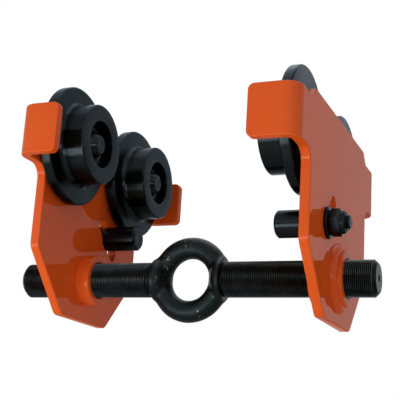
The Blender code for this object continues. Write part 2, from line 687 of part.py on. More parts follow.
def build():
    """Build the whole trolley."""
    enamel = material("orange_enamel", (0.60, 0.075, 0.012), 0.25, 0.0)
    black_steel = material("black_oxide_steel", (0.018, 0.019, 0.023), 0.40, 0.6)
    forged_steel = material("forged_black_steel", (0.030, 0.034, 0.036), 0.55, 0.4)
    bright_steel = material("bearing_steel", (0.45, 0.45, 0.46), 0.30, 1.0)
    rubber = material("seal_rubber", (0.015, 0.015, 0.015), 0.70, 0.0)
    nylon = material("nylon", (0.45, 0.46, 0.44), 0.50, 0.0)

    meshes = {
        "side_plate": side_plate_mesh(),
        "threaded_bush": bush_mesh(),
        "wheel": wheel_mesh(),
        "outer_ring": outer_ring_mesh(),
        "inner_ring": inner_ring_mesh(),
        "ball_set": ball_set_mesh(),
        "hub_seal": seal_mesh("hub_seal", BEARING_FRONT - SEAL_INSET - SEAL_THICKNESS),
        "plate_seal": seal_mesh("plate_seal", BEARING_BACK + SEAL_INSET),
        "circlip": circlip_mesh(),
        "axle_pin": axle_mesh(),
        "spacer_sleeve": spacer_mesh(),
        "anti_lift_pin": pin_mesh(),
        "washer": washer_mesh(),
        "lock_nut": nut_mesh(),
        "nylon_ring": nylon_ring_mesh(),
    }
    finishes = {kind: black_steel for kind in meshes}
    finishes.update(side_plate=enamel, threaded_bush=enamel, outer_ring=bright_steel,
                    inner_ring=bright_steel, ball_set=bright_steel, hub_seal=rubber,
                    plate_seal=rubber, nylon_ring=nylon)

    spindle_frame = frame("spindle_frame", (0.0, 0.0, PLATE_DROP), 0.0)
    place("eye_spindle", spindle_mesh(), forged_steel, spindle_frame)
    add_side("left", meshes, finishes, LEFT_PLATE_DISTANCE, 0.0, LEFT_PIN_RISE)
    add_side("right", meshes, finishes, RIGHT_PLATE_DISTANCE, math.pi, RIGHT_PIN_RISE)


for thing in list(bpy.data.objects):
    bpy.data.objects.remove(thing)
build()
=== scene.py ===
# %% [markdown]
# # An adjustable beam trolley, dressed for a studio picture
# The trolley rolls on the lower flange of a beam. Two bent plates carry four flanged
# wheels, and a spindle with a forged eye joins them: its two halves have threads of
# opposite hand, so turning it moves the plates apart or together. This lesson starts
# from the finished solid model and gives each visible piece its fine shape and finish.

# %% Tools and the solid model
import math
from functools import partial

import bmesh
import bpy
from mathutils import Matrix, Vector


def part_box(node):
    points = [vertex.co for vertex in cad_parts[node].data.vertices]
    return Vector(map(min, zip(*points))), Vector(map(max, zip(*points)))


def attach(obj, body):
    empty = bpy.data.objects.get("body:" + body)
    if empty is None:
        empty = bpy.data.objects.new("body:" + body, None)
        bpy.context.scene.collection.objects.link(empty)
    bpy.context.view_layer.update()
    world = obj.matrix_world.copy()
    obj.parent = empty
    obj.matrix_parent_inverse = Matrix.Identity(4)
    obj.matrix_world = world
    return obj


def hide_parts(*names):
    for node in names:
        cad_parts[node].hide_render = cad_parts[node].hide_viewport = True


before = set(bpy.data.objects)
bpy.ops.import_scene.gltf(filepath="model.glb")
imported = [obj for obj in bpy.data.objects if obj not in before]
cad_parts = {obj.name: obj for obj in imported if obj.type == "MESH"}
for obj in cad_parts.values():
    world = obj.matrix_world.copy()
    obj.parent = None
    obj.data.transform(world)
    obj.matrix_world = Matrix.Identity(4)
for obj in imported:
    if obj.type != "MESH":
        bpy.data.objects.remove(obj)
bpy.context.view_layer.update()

# %% [markdown]
# ## Where things are
# Sizes are easiest to read in millimetres, as on a drawing, so one value turns them to
# metres. The places come from the solid model itself, so nothing has to be fitted: the
# spindle's axis, the inner face of each plate and the axis of the axles are measured
# from the boxes of the solids.

# %% Places measured from the solids
MM = 0.001
AIR = 0.3 * MM  # the gap between pieces that don't touch
HALF_TURN = Matrix.Rotation(math.pi, 4, "Z")


def middle(node_name):
    """Return the centre of a solid's box."""
    low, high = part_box(node_name)
    return (low + high) / 2


bush_low, bush_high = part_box("left_threaded_bush")
SPINDLE_HEIGHT = bush_low.z + (bush_high.z - bush_low.z) / 2
PLATE_THICKNESS = 8.0 * MM
LEFT_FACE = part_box("left_side_plate")[0].x + PLATE_THICKNESS
RIGHT_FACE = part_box("right_side_plate")[1].x - PLATE_THICKNESS
AXLE_HEIGHT = middle("left_front_wheel").z - SPINDLE_HEIGHT
AXLE_ALONG = middle("left_rear_wheel").y

# A side frame has its origin on the spindle's axis at the plate's inner face, with +X
# pointing to the eye. The right side is the left one turned half a turn.
SPINDLE_PLACE = Matrix.Translation((0, 0, SPINDLE_HEIGHT))
SIDES = {"left": Matrix.Translation((LEFT_FACE, 0, SPINDLE_HEIGHT)),
         "right": Matrix.Translation((RIGHT_FACE, 0, SPINDLE_HEIGHT)) @ HALF_TURN}
ENDS = {"left": {"front": -1, "rear": 1}, "right": {"front": 1, "rear": -1}}
AXLES = [(side, f"{side}_{end}",
          SIDES[side] @ Matrix.Translation((0, way * AXLE_ALONG, AXLE_HEIGHT)))
         for side, ways in ENDS.items() for end, way in ways.items()]
print("spindle axis", round(SPINDLE_HEIGHT / MM, 2), "axles", round(AXLE_HEIGHT / MM, 2))

# %% [markdown]
# ## Small helpers for the shapes
# Most pieces here were turned on a lathe, so an outline of points is spun about an
# axis. A real edge is never razor sharp: a small round catches the light, so each
# corner of an outline is eased before it is spun. Sheet parts are outlines that are
# raised to their thickness.

# %% Outlines and turned shapes
SAME_POINT = 0.0005 * MM
SHORT_SIDE_SHARE = 0.45


def arc(centre, radius, start, end, steps):
    """Return points on an arc, both ends included."""
    turns = [start + (end - start) * step / steps for step in range(steps + 1)]
    return [(centre[0] + radius * math.cos(turn), centre[1] + radius * math.sin(turn))
            for turn in turns]


def eased(points, radius=None, steps=3, least=12):
    """Round the corners of a closed outline, no further than its short sides allow.

    A point may carry a radius of its own. Bends under the least angle stay as they are.
    """
    result = []
    for index, point in enumerate(points):
        corner = Vector(point[:2])
        before = Vector(points[index - 1][:2]) - corner
        after = Vector(points[(index + 1) % len(points)][:2]) - corner
        half = before.angle(after) / 2
        if math.pi - 2 * half < math.radians(least):
            result.append(tuple(corner))
            continue
        tangent = (point[2] if len(point) > 2 else radius) / math.tan(half)
        reach = min(tangent, SHORT_SIDE_SHARE * before.length, SHORT_SIDE_SHARE * after.length)
        inward = (before.normalized() + after.normalized()).normalized()
        centre = corner + inward * (reach * math.tan(half) / math.sin(half))
        first = corner + before.normalized() * reach - centre
        last = corner + after.normalized() * reach - centre
        sweep = first.angle_signed(last)
        result += [tuple(centre + Matrix.Rotation(-sweep * step / steps, 2) @ first)
                   for step in range(steps + 1)]
    return result


def mesh_from(bm, name, sharp=32):
    """Close a bmesh into a mesh that is smooth but for its sharp edges."""
    bmesh.ops.remove_doubles(bm, verts=bm.verts, dist=SAME_POINT)
    bmesh.ops.recalc_face_normals(bm, faces=bm.faces)
    mesh = bpy.data.meshes.new(name)
    bm.to_mesh(mesh)
    bm.free()
    mesh.shade_smooth()
    mesh.set_sharp_from_angle(angle=math.radians(sharp))
    return mesh


def turned(name, outline, segments=96, sharp=32):
    """Spin a closed outline of (x, radius) points about the X axis."""
    bm = bmesh.new()
    points = [bm.verts.new((x, 0, max(radius, 0))) for x, radius in outline]
    edges = [bm.edges.new((a, b)) for a, b in zip(points, points[1:] + points[:1])
             if a.co.z > 0 or b.co.z > 0]
    bmesh.ops.spin(bm, geom=points + edges, cent=(0, 0, 0), axis=(1, 0, 0),
                   angle=math.tau, steps=segments, use_merge=True)
    return mesh_from(bm, name, sharp)


def raised(name, outline, start, end):
    """Raise a closed outline of (y, z) points along X from start to end."""
    bm = bmesh.new()
    face = bm.faces.new([bm.verts.new((start, y, z)) for y, z in outline])
    top = bmesh.ops.extrude_face_region(bm, geom=[face])["geom"]
    bmesh.ops.translate(bm, vec=(end - start, 0, 0),
                        verts=[v for v in top if isinstance(v, bmesh.types.BMVert)])
    return mesh_from(bm, name)


# %% [markdown]
# ## Modifiers, run at once
# A modifier can bevel an edge or cut one mesh with another. A piece should end as a
# plain mesh, so each helper hangs the mesh on a short-lived object, runs the modifiers
# there and keeps only the result.


# %% Running modifiers
def linked(name, data):
    """Return a new object that is linked to the scene."""
    made = bpy.data.objects.new(name, data)
    bpy.context.scene.collection.objects.link(made)
    return made


def baked(holder):
    """Return an object's mesh as its modifiers leave it, and remove the object."""
    bpy.context.view_layer.update()
    result = bpy.data.meshes.new_from_object(
        holder.evaluated_get(bpy.context.evaluated_depsgraph_get()))
    bpy.data.objects.remove(holder)
    return result


def with_modifiers(mesh, *steps):
    """Run modifiers on a mesh and return the finished mesh. A step is (type, settings)."""
    holder = linked(mesh.name, mesh)
    for kind, settings in steps:
        modifier = holder.modifiers.new(kind.lower(), kind)
        for key, value in settings.items():
            setattr(modifier, key, value)
    return baked(holder)


def bevel(width, segments, angle):
    """Return a step that rounds the edges which turn by more than an angle."""
    return ("BEVEL", {"width": width, "segments": segments, "limit_method": "ANGLE",
                      "angle_limit": math.radians(angle)})


def cut_by(mesh, tool, operation="DIFFERENCE"):
    """Cut a mesh with another mesh and return the result."""
    cutter = linked(tool.name, tool)
    result = with_modifiers(mesh, ("BOOLEAN", {"object": cutter, "operation": operation,
                                               "solver": "EXACT"}))
    bpy.data.objects.remove(cutter)
    return result


# %% [markdown]
# ## Handing a piece to the model
# A finished piece stays at the origin and has its place in its mesh. It rides on the body that
# carries it, it stands for the solid that it replaces, and it takes its finish from the material
# it is given.

# %% Adding a finished piece
PIECES = []


def add_piece(name, mesh, place, material, body, stands_for):
    """Add one finished piece in the place of a solid."""
    placed = mesh.copy()
    placed.transform(place)
    placed.materials.clear()
    placed.materials.append(material)
    piece = linked(name, placed)
    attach(piece, body)
    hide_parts(stands_for)
    PIECES.append(name)


# %% [markdown]
# ## Small helpers for nodes
# Materials and Geometry Nodes are both trees of nodes. One function adds a node, with
# its settings and what comes into its sockets, and a few short ones add the kinds that
# come back often: sums, noise, a bump, a blend of two colours. Another turns the sRGB
# hex value of a colour, as a paint program shows it, into the linear values that
# shaders use.


# %% Adding nodes and reading colours
def feed(node, inputs):
    """Fill a node's sockets, each with a value or with what another node gives out."""
    for key, value in inputs.items():
        if isinstance(value, bpy.types.Node):
            value = next(out for out in value.outputs if out.enabled)
        if isinstance(value, bpy.types.NodeSocket):
            node.id_data.links.new(value, node.inputs[key])
        else:
            node.inputs[key].default_value = value


def add(tree, kind, inputs=None, **settings):
    """Add a node with its settings and what comes into its sockets."""
    made = tree.nodes.new(kind)
    for key, value in settings.items():
        setattr(made, key, value)
    feed(made, inputs or {})
    return made


def calc(operation, *terms):
    """Add one sum to the tree that its terms are in."""
    tree = next(term.id_data for term in terms if hasattr(term, "id_data"))
    return add(tree, "ShaderNodeMath", dict(enumerate(terms)), operation=operation)


plus, minus, times, over, larger, smaller = [partial(calc, operation) for operation in (
    "ADD", "SUBTRACT", "MULTIPLY", "DIVIDE", "MAXIMUM", "MINIMUM")]


def linear(code):
    """Return the linear colour of an sRGB hex value."""
    shares = [int(code[i:i + 2], 16) / 255 for i in (1, 3, 5)]
    return (*[c / 12.92 if c <= 0.04045 else ((c + 0.055) / 1.055)**2.4 for c in shares], 1.0)


def new_material(name):
    """Return a material, the place of a point on it and its Principled shader."""
    material = bpy.data.materials.new(name)
    material.use_nodes = True
    spot = add(material.node_tree, "ShaderNodeTexCoord").outputs["Object"]
    return material, spot, material.node_tree.nodes["Principled BSDF"]


def noise(spot, width, detail=2.0, **more):
    """Add a noise whose blots are about one width across."""
    return add(spot.id_data, "ShaderNodeTexNoise",
               {"Vector": spot, "Scale": 1 / width, "Detail": detail, **more})


def blend(share, first, second):
    """Add a mix that goes from one colour to another."""
    return add(share.id_data, "ShaderNodeMix", {"Factor": share, "A": linear(first),
                                                "B": linear(second)}, data_type="RGBA")


def bump(height, strength, depth, **more):
    """Add a bump that stands one depth high."""
    return add(height.id_data, "ShaderNodeBump",
               {"Height": height, "Strength": strength, "Distance": depth, **more})


def ramp(value, low, high, to_low=0.0, to_high=1.0):
    """Add a node that stretches one range to another."""
    return add(value.id_data, "ShaderNodeMapRange", {
        "Value": value, "From Min": low, "From Max": high, "To Min": to_low, "To Max": to_high})


def from_line(spot, centre):
    """Add nodes that measure how far a point is from a line along X."""
    tree = spot.id_data
    offset = add(tree, "ShaderNodeVectorMath", {0: spot, 1: centre}, operation="SUBTRACT")
    across = add(tree, "ShaderNodeVectorMath", {0: offset, 1: (0, 1, 1)}, operation="MULTIPLY")
    return add(tree, "ShaderNodeVectorMath", {0: across}, operation="LENGTH")


# %% [markdown]
# ## Gloss enamel on the plates
# The plates are sprayed with a thick orange enamel and baked. The pigment lies under a
# clear, even film. So the base is rough and has no shine of its own, and a thin, smooth
# coat over it gives all the reflections. Sprayed paint dries with a very slight
# orange-peel wave a few millimetres wide, which a weak bump from a soft noise gives.
# The colour drifts a little where the film is thicker.

# %% Gloss orange enamel
ENAMEL = "#D2551C"
ENAMEL_DEEP = "#C64815"
DRIFT_WIDTH = 1 / 18  # metres, or about 56 mm
PEEL_WIDTH = 3.5 * MM
PEEL_DEPTH = 0.05 * MM

gloss_enamel, spot, shader = new_material("gloss_orange_enamel")
wave = bump(noise(spot, PEEL_WIDTH, 1.0), 0.05, PEEL_DEPTH)
feed(shader, {
    "Base Color": blend(noise(spot, DRIFT_WIDTH), ENAMEL, ENAMEL_DEEP), "Roughness": 0.42,
    "Specular IOR Level": 0.0, "Coat Weight": 0.36, "Coat IOR": 1.38, "Coat Roughness": 0.05,
    "Normal": wave, "Coat Normal": wave})
print("enamel:", gloss_enamel.name)

# %% [markdown]
# ## Black-oxide steel on the wheels and fasteners
# Black oxide is not a paint. Hot salts turn the skin of the steel into a dark iron
# oxide, and a thin oil film stays in it. So it keeps the lathe marks below it, and it
# shines like dark metal: broad, soft highlights. The turned faces get fine rings about
# the axle. All four axles lie at the same height and the same distance to either side,
# so one pattern on the absolute value of Y serves every wheel. The grooves are too fine
# to draw on the treads, but they spread each highlight along the axle. The shader's
# anisotropy does that, with a tangent that runs round the X axis.

# %% Black-oxide steel
OXIDE = "#24292B"
OXIDE_DARK = "#16191B"
OXIDE_SHINE = "#CCD1D6"
TOOL_MARK = 0.9 * MM
MARK_DEPTH = 0.01 * MM
GRAIN_WIDTH = 0.5 * MM
GRAIN_DEPTH = 0.02 * MM
CLOUD_WIDTH = 1 / 60  # metres, or about 17 mm

oxide_steel, spot, shader = new_material("black_oxide_steel")
tree = oxide_steel.node_tree
folded = add(tree, "ShaderNodeVectorMath", {0: spot}, operation="ABSOLUTE")
radius = from_line(folded, (0, AXLE_ALONG, AXLE_HEIGHT + SPINDLE_HEIGHT))
rings = calc("SINE", times(radius, math.tau / TOOL_MARK))
marks = bump(rings, 0.10, MARK_DEPTH)
clouds = noise(spot, CLOUD_WIDTH, 4.0)
feed(shader, {
    "Base Color": blend(clouds, OXIDE_DARK, OXIDE), "Metallic": 1.0,
    "Specular Tint": linear(OXIDE_SHINE), "Roughness": ramp(clouds, 0.3, 0.7, 0.22, 0.29),
    "Normal": bump(noise(spot, GRAIN_WIDTH), 0.10, GRAIN_DEPTH, Normal=marks),
    "Tangent": add(tree, "ShaderNodeTangent", direction_type="RADIAL", axis="X"),
    "Anisotropic": 0.85, "Anisotropic Rotation": 0.25})
print("oxide:", oxide_steel.name)

# %% [markdown]
# ## Forged steel on the eye
# The ring came out of a forging die, was shot-blasted and blackened. Scale that
# flaked off leaves shallow pits, so the skin is duller than the turned steel, and rubbed
# high spots show as small light specks, which lie in patches.

# %% Forged, blackened steel
FORGED = "#1D2223"
FORGED_RUBBED = "#747B79"
PIT_WIDTH = 2.2 * MM
PIT_DEPTH = 0.12 * MM
SPECK_WIDTH = 1.6 * MM
PATCH_WIDTH = 14 * MM

forged_steel, spot, shader = new_material("forged_black_steel")
specks = ramp(noise(spot, SPECK_WIDTH, 3.0), 0.63, 0.70)
patches = ramp(noise(spot, PATCH_WIDTH), 0.54, 0.66)
pits = noise(spot, PIT_WIDTH, 5.0, Roughness=0.6)
feed(shader, {
    "Base Color": blend(times(specks, patches), FORGED, FORGED_RUBBED), "Metallic": 1.0,
    "Roughness": 0.42, "Normal": bump(pits, 0.35, PIT_DEPTH)})
print("forged:", forged_steel.name)

# %% [markdown]
# ## Rolled thread steel
# The spindle's thread is blackened too, but the bushes polish its crests each time it
# is turned, so the crests are lighter than the roots. How far a point is from the
# spindle's axis tells the two apart, and a noise leaves some crests dirty.

# %% Oiled thread
THREAD_ROOT_TONE = "#15191A"
THREAD_CREST_TONE = "#5C6463"
THREAD_SHINE = "#DDE2E0"
THREAD_RADIUS = 15.0 * MM
DIRT_WIDTH = 9 * MM

thread_steel, spot, shader = new_material("oiled_thread_steel")
crest = ramp(from_line(spot, (0, 0, SPINDLE_HEIGHT)),
             THREAD_RADIUS - 0.7 * MM, THREAD_RADIUS - 0.05 * MM)
clean = times(crest, noise(spot, DIRT_WIDTH, 4.0))
feed(shader, {
    "Base Color": blend(clean, THREAD_ROOT_TONE, THREAD_CREST_TONE), "Metallic": 1.0,
    "Specular Tint": linear(THREAD_SHINE), "Roughness": 0.34})
print("thread:", thread_steel.name)

# %% [markdown]
# ## Bearing steel, seal rubber and nylon
# The ground bearing rings are steel with a faint haze. Their colour is painted much darker than
# bright steel, as painted shade for the deep bore they sit in. The seal is moulded rubber with a
# fine matt grain. The ring in the nut is nylon, which is milky and a little translucent.

# %% The small finishes
shade_darkened_bearing, spot, shader = new_material("bearing_rings_in_painted_shade")
# Painted shade: the base colour is darkened because the rings sit in shade deep in the wheel's
# bore.
feed(shader, {"Base Color": linear("#54575A"), "Metallic": 1.0,
              "Roughness": ramp(noise(spot, 2 * MM, 3.0), 0.0, 1.0, 0.2, 0.36)})

seal_rubber, spot, shader = new_material("moulded_nitrile_rubber")
feed(shader, {"Base Color": linear("#17181A"), "Roughness": 0.62,
              "Normal": bump(noise(spot, 0.6 * MM, 3.0), 0.2, 0.05 * MM)})

nut_nylon, spot, shader = new_material("milky_nylon")
feed(shader, {"Base Color": blend(noise(spot, 3 * MM), "#8E9088", "#A3A59B"),
              "Roughness": 0.45, "Subsurface Weight": 0.15, "Subsurface Scale": 1.0 * MM})
print("small finishes:", shade_darkened_bearing.name, seal_rubber.name, nut_nylon.name)

# %% [markdown]
# ## The side plates
# Each plate is one sheet: its blank is cut flat, the edges are broken, and then a press
# bends the two bumper tabs inwards. The lesson does the same. First come the sizes of
# the flat blank, with the tabs laid straight out. A bend uses up as much sheet as the
# arc through the middle of its thickness is long.

# %% Sizes of the blank
PLATE_HALF_WIDTH = 88.5 * MM
FOOT_HALF_WIDTH = 40.0 * MM
KNEE_HEIGHT = 12.0 * MM
PLATE_REACH = 25.5 * MM  # above and below the axles
PLATE_TOP = AXLE_HEIGHT + PLATE_REACH
TAB_BOTTOM = AXLE_HEIGHT - PLATE_REACH
TAB_TOP = TAB_BOTTOM + 41.5 * MM
TAB_FACE = 124.5 * MM
LONG_TAB = 31.0 * MM
SHORT_TAB = 27.8 * MM
FOOT_ROUND, KNEE_ROUND, ROOT_ROUND, TAB_ROUND, TOP_ROUND = [
    size * MM for size in (9.0, 10.0, 11.0, 5.0, 1.5)]
BEND_INSIDE = 5.0 * MM
BEND_OUTSIDE = BEND_INSIDE + PLATE_THICKNESS
BEND_LINE = TAB_FACE - BEND_OUTSIDE
BEND_LENGTH = (BEND_INSIDE + PLATE_THICKNESS / 2) * math.pi / 2
LONG_END, SHORT_END = [BEND_LINE + BEND_LENGTH + tab - BEND_INSIDE
                       for tab in (LONG_TAB, SHORT_TAB)]
BEND_CUTS = 10
EDGE_ROUND = 1.1 * MM
SLOT_TURN = math.radians(44)
SLOT_RADIUS = 6.5 * MM
SLOT_LENGTH = 31.0 * MM
SLOT_LOW = Vector((42.0 * MM, 33.0 * MM))
SLOT_HIGH = SLOT_LOW + Vector((-math.sin(SLOT_TURN), math.cos(SLOT_TURN))) * SLOT_LENGTH
print("blank length", round((LONG_END + SHORT_END) / MM, 1), "mm")

# %% [markdown]
# ## Cutting and bending the blank
# The blank is drawn flat, its slot is cut and its edges are rounded. Then fine cuts are
# laid across the bends, and every point past a bend line is carried round the bend.
# Rounding the flat blank is much easier than rounding the bent one, because all its
# edges lie in one plane.

# %% Drawing, cutting and bending
long_half, short_half = [[
    (FOOT_HALF_WIDTH, -SPINDLE_HEIGHT, FOOT_ROUND),
    (PLATE_HALF_WIDTH, KNEE_HEIGHT, KNEE_ROUND),
    (PLATE_HALF_WIDTH, TAB_BOTTOM, ROOT_ROUND),
    (end, TAB_BOTTOM, TAB_ROUND),
    (end, TAB_TOP, TAB_ROUND),
    (PLATE_HALF_WIDTH, TAB_TOP, TOP_ROUND),
    (PLATE_HALF_WIDTH - (PLATE_TOP - TAB_TOP), PLATE_TOP, TOP_ROUND),
] for end in (LONG_END, SHORT_END)]
blank_outline = eased(
    long_half + [(-y, z, radius) for y, z, radius in reversed(short_half)], steps=8)
slot_outline = [point for end, start in ((SLOT_HIGH, SLOT_TURN), (SLOT_LOW, SLOT_TURN + math.pi))
                for point in arc(end, SLOT_RADIUS, start, start + math.pi, 16)]


def bent(point):
    """Carry a point of the blank round the bend."""
    side = 1 if point.y > 0 else -1
    past = abs(point.y) - BEND_LINE
    if past <= 0:
        return point
    turn = min(past / BEND_LENGTH, 1) * math.pi / 2
    reach = BEND_INSIDE - point.x
    straight = max(past - BEND_LENGTH, 0)
    return Vector((BEND_INSIDE - reach * math.cos(turn) + straight,
                   side * (BEND_LINE + reach * math.sin(turn)), point.z))


blank = cut_by(raised("side_plate", blank_outline, -PLATE_THICKNESS, 0),
               raised("slot_cutter", slot_outline, -20 * MM, 12 * MM))
bm = bmesh.new()
bm.from_mesh(with_modifiers(blank, bevel(EDGE_ROUND, 3, 50)))
for side in (-1, 1):
    for cut in range(BEND_CUTS + 1):
        where = side * (BEND_LINE + BEND_LENGTH * cut / BEND_CUTS)
        bmesh.ops.bisect_plane(bm, geom=bm.verts[:] + bm.edges[:] + bm.faces[:],
                               plane_co=(0, where, 0), plane_no=(0, 1, 0), dist=1e-7)
for vert in bm.verts:
    vert.co = bent(vert.co)
plate_mesh = with_modifiers(mesh_from(bm, "side_plate", 60),
                            ("WEIGHTED_NORMAL", {"keep_sharp": True, "weight": 100}))
print("plate faces:", len(plate_mesh.polygons))
for side, place in SIDES.items():
    add_piece(f"{side}_plate", plate_mesh, place, gloss_enamel, f"{side}_side",
              f"{side}_side_plate")

# %% [markdown]
# ## Trees that make a mesh
# Geometry Nodes make what repeats. Each tree here has named inputs, and it ends by
# making its instances real and giving them their finish. Then the tree is run once and
# its result is kept as a plain mesh.


# %% Helpers for Geometry Nodes
def new_tree(name, inputs):
    """Return a tree with named inputs, and what its input node gives out."""
    tree = bpy.data.node_groups.new(name, "GeometryNodeTree")
    for key in (*inputs, "Finish"):
        kind = {"Shape": "Geometry", "Finish": "Material"}.get(key, "Float")
        tree.interface.new_socket(key, in_out="INPUT", socket_type="NodeSocket" + kind)
    tree.interface.new_socket("Result", in_out="OUTPUT", socket_type="NodeSocketGeometry")
    return tree, add(tree, "NodeGroupInput").outputs


def end_tree(tree, shape, finish):
    """Make a shape real, give it its finish and send it out of the tree."""
    real = add(tree, "GeometryNodeRealizeInstances", {"Geometry": shape})
    coated = add(tree, "GeometryNodeSetMaterial", {"Geometry": real, "Material": finish})
    add(tree, "NodeGroupOutput", {"Result": coated})


def through_nodes(name, tree, values, mesh=None):
    """Run a tree with its inputs set, and return a plain mesh."""
    holder = linked(name, mesh or bpy.data.meshes.new(name))
    modifier = holder.modifiers.new(tree.name, "NODES")
    modifier.node_group = tree
    for item in tree.interface.items_tree:
        if item.in_out == "INPUT" and item.name in values:
            modifier[item.identifier] = values[item.name]
    result = baked(holder)
    result.name = name
    return result


# %% [markdown]
# ## The threaded bushes and their welds
# A flanged bush carries the thread in each plate. It is set in from the outside and
# welded all round, and then painted with the plate. A weld bead is a row of small
# overlapping ripples left by the moving arc, so Geometry Nodes push a plain ring of
# weld in and out in a repeating wave, a little unevenly, before the paint.

# %% The bush and its weld
BUSH_OUTER_END = -PLATE_THICKNESS - AIR - 7.3 * MM
BUSH_INNER_END = 11.7 * MM
BUSH_BORE = 15.3 * MM
BUSH_FLANGE = 22.6 * MM
BUSH_COLLAR = 22.0 * MM
BORE_CHAMFER = 1.2 * MM
bush_mesh = turned("threaded_bush", eased([
    (BUSH_OUTER_END, BUSH_BORE + BORE_CHAMFER), (BUSH_OUTER_END, BUSH_FLANGE),
    (-PLATE_THICKNESS, BUSH_FLANGE), (-PLATE_THICKNESS, BUSH_COLLAR),
    (BUSH_INNER_END, BUSH_COLLAR), (BUSH_INNER_END, BUSH_BORE + BORE_CHAMFER),
    (BUSH_INNER_END - BORE_CHAMFER, BUSH_BORE), (BUSH_OUTER_END + BORE_CHAMFER, BUSH_BORE),
], 0.9 * MM), 128)

WELD_HEIGHT = 5.5 * MM
WELD_LENGTH = 5.0 * MM
WELD_FULLNESS = 0.9 * MM
WELD_SUNK = 0.2 * MM
WELD_ROOT = BUSH_FLANGE - WELD_SUNK
WELD_STEPS = 10
RIPPLES = 46.0
RIPPLE_HEIGHT = 0.09 * MM
UNEVEN_WIDTH = 1 / 260  # metres, or about 4 mm
UNEVENNESS = 2.2  # radians of a ripple's wave
weld_outline = [(-PLATE_THICKNESS + WELD_SUNK, WELD_ROOT - 0.5 * MM)]
for share in [step / WELD_STEPS for step in range(WELD_STEPS + 1)]:
    fullness = WELD_FULLNESS * math.sin(math.pi * share)
    weld_outline.append((-PLATE_THICKNESS - WELD_LENGTH * share - fullness,
                         WELD_ROOT + WELD_HEIGHT * (1 - share) + fullness))

ripple, given = new_tree("weld_ripple", ("Shape", "Ripples", "Height"))
position = add(ripple, "GeometryNodeInputPosition")
_, y, z = add(ripple, "ShaderNodeSeparateXYZ", {0: position}).outputs
beat = calc("MULTIPLY_ADD", calc("ARCTAN2", y, z), given["Ripples"],
            times(noise(position, UNEVEN_WIDTH, 1.0), UNEVENNESS))
push = add(ripple, "ShaderNodeVectorMath", {
    0: add(ripple, "GeometryNodeInputNormal"),
    "Scale": times(calc("SINE", beat), given["Height"])}, operation="SCALE")
moved = add(ripple, "GeometryNodeSetPosition", {"Geometry": given["Shape"], "Offset": push})
end_tree(ripple, moved, given["Finish"])

weld_mesh = through_nodes(
    "weld", ripple, {"Ripples": RIPPLES, "Height": RIPPLE_HEIGHT, "Finish": gloss_enamel},
    turned("weld_ring", weld_outline, 276, 60))
weld_mesh.shade_smooth()
print("weld faces:", len(weld_mesh.polygons))
for side, place in SIDES.items():
    for kind, mesh in (("bush", bush_mesh), ("bush_weld", weld_mesh)):
        add_piece(f"{side}_{kind}", mesh, place, gloss_enamel, f"{side}_side",
                  f"{side}_threaded_bush")

# %% [markdown]
# ## The wheels
# Each wheel is turned from a steel blank: a flange that guides it along the beam's
# edge, a fillet, the tread that carries the load, and a deep bore for the bearing. One
# outline gives them all. Its corners are eased, so the hub's rim and the flange's rim
# catch a line of light.

# %% Turning the wheels
FLANGE_RADIUS = 50.6 * MM
TREAD_RADIUS = 33.9 * MM
WHEEL_BACK = 3.8 * MM
FLANGE_FRONT = WHEEL_BACK + 8.8 * MM
HUB_FACE = WHEEL_BACK + 30.5 * MM
SEAT_RADIUS = 20.0 * MM
BACK_BORE = 17 * MM
BEARING_FRONT = HUB_FACE - 9.2 * MM
BEARING_BACK = BEARING_FRONT - 12.0 * MM
GROOVE_FRONT = BEARING_FRONT + 2.35 * MM
GROOVE_RADIUS = SEAT_RADIUS + 1.2 * MM
RIM = 1.0 * MM
FILLET_LENGTH = 5.2 * MM
FILLET_RADIUS = 4.5 * MM

fillet_end = FLANGE_FRONT + FILLET_LENGTH
fillet = [(FLANGE_FRONT + FILLET_LENGTH * (1 - (fillet_end - x) / FILLET_RADIUS), r)
          for x, r in arc((fillet_end, TREAD_RADIUS + FILLET_RADIUS), FILLET_RADIUS,
                          math.pi, 1.5 * math.pi, 10)]
wheel_mesh = turned("wheel", eased([
    (WHEEL_BACK, BACK_BORE), (WHEEL_BACK, FLANGE_RADIUS - RIM),
    (WHEEL_BACK + RIM, FLANGE_RADIUS), (FLANGE_FRONT - RIM, FLANGE_RADIUS),
    (FLANGE_FRONT, FLANGE_RADIUS - RIM), *fillet,
    (HUB_FACE - RIM, TREAD_RADIUS), (HUB_FACE, TREAD_RADIUS - RIM),
    (HUB_FACE, SEAT_RADIUS + AIR), (HUB_FACE - AIR, SEAT_RADIUS),
    (GROOVE_FRONT, SEAT_RADIUS), (GROOVE_FRONT, GROOVE_RADIUS),
    (BEARING_FRONT, GROOVE_RADIUS), (BEARING_FRONT, SEAT_RADIUS),
    (BEARING_BACK - AIR, SEAT_RADIUS), (BEARING_BACK - AIR, BACK_BORE),
], 0.45 * MM), 144)
print("wheel faces:", len(wheel_mesh.polygons))
for side, tag, place in AXLES:
    add_piece(f"{tag}_turned_wheel", wheel_mesh, place, oxide_steel, f"{tag}_wheel_set",
              f"{tag}_wheel")

# %% [markdown]
# ## What shows in the wheel's bore
# The bearing is pushed in from the hub side and held by a spring ring in a groove.
# Between its rings lies a dished rubber seal, and the cone-shaped head of the axle pin
# covers the inner ring.

# %% Seal, outer ring and axle head
RING_OUTER = 19.7 * MM
RING_RACE = 17.6 * MM
RING_LAND = 16.1 * MM
LAND_WIDTH = 4 * MM
ring_mesh = turned("bearing_ring", eased([
    (BEARING_FRONT - LAND_WIDTH, RING_LAND), (BEARING_FRONT, RING_LAND),
    (BEARING_FRONT, RING_OUTER), (BEARING_BACK, RING_OUTER), (BEARING_BACK, RING_LAND),
    (BEARING_BACK + LAND_WIDTH, RING_LAND), (BEARING_BACK + LAND_WIDTH, RING_RACE),
    (BEARING_FRONT - LAND_WIDTH, RING_RACE)], 0.4 * MM))

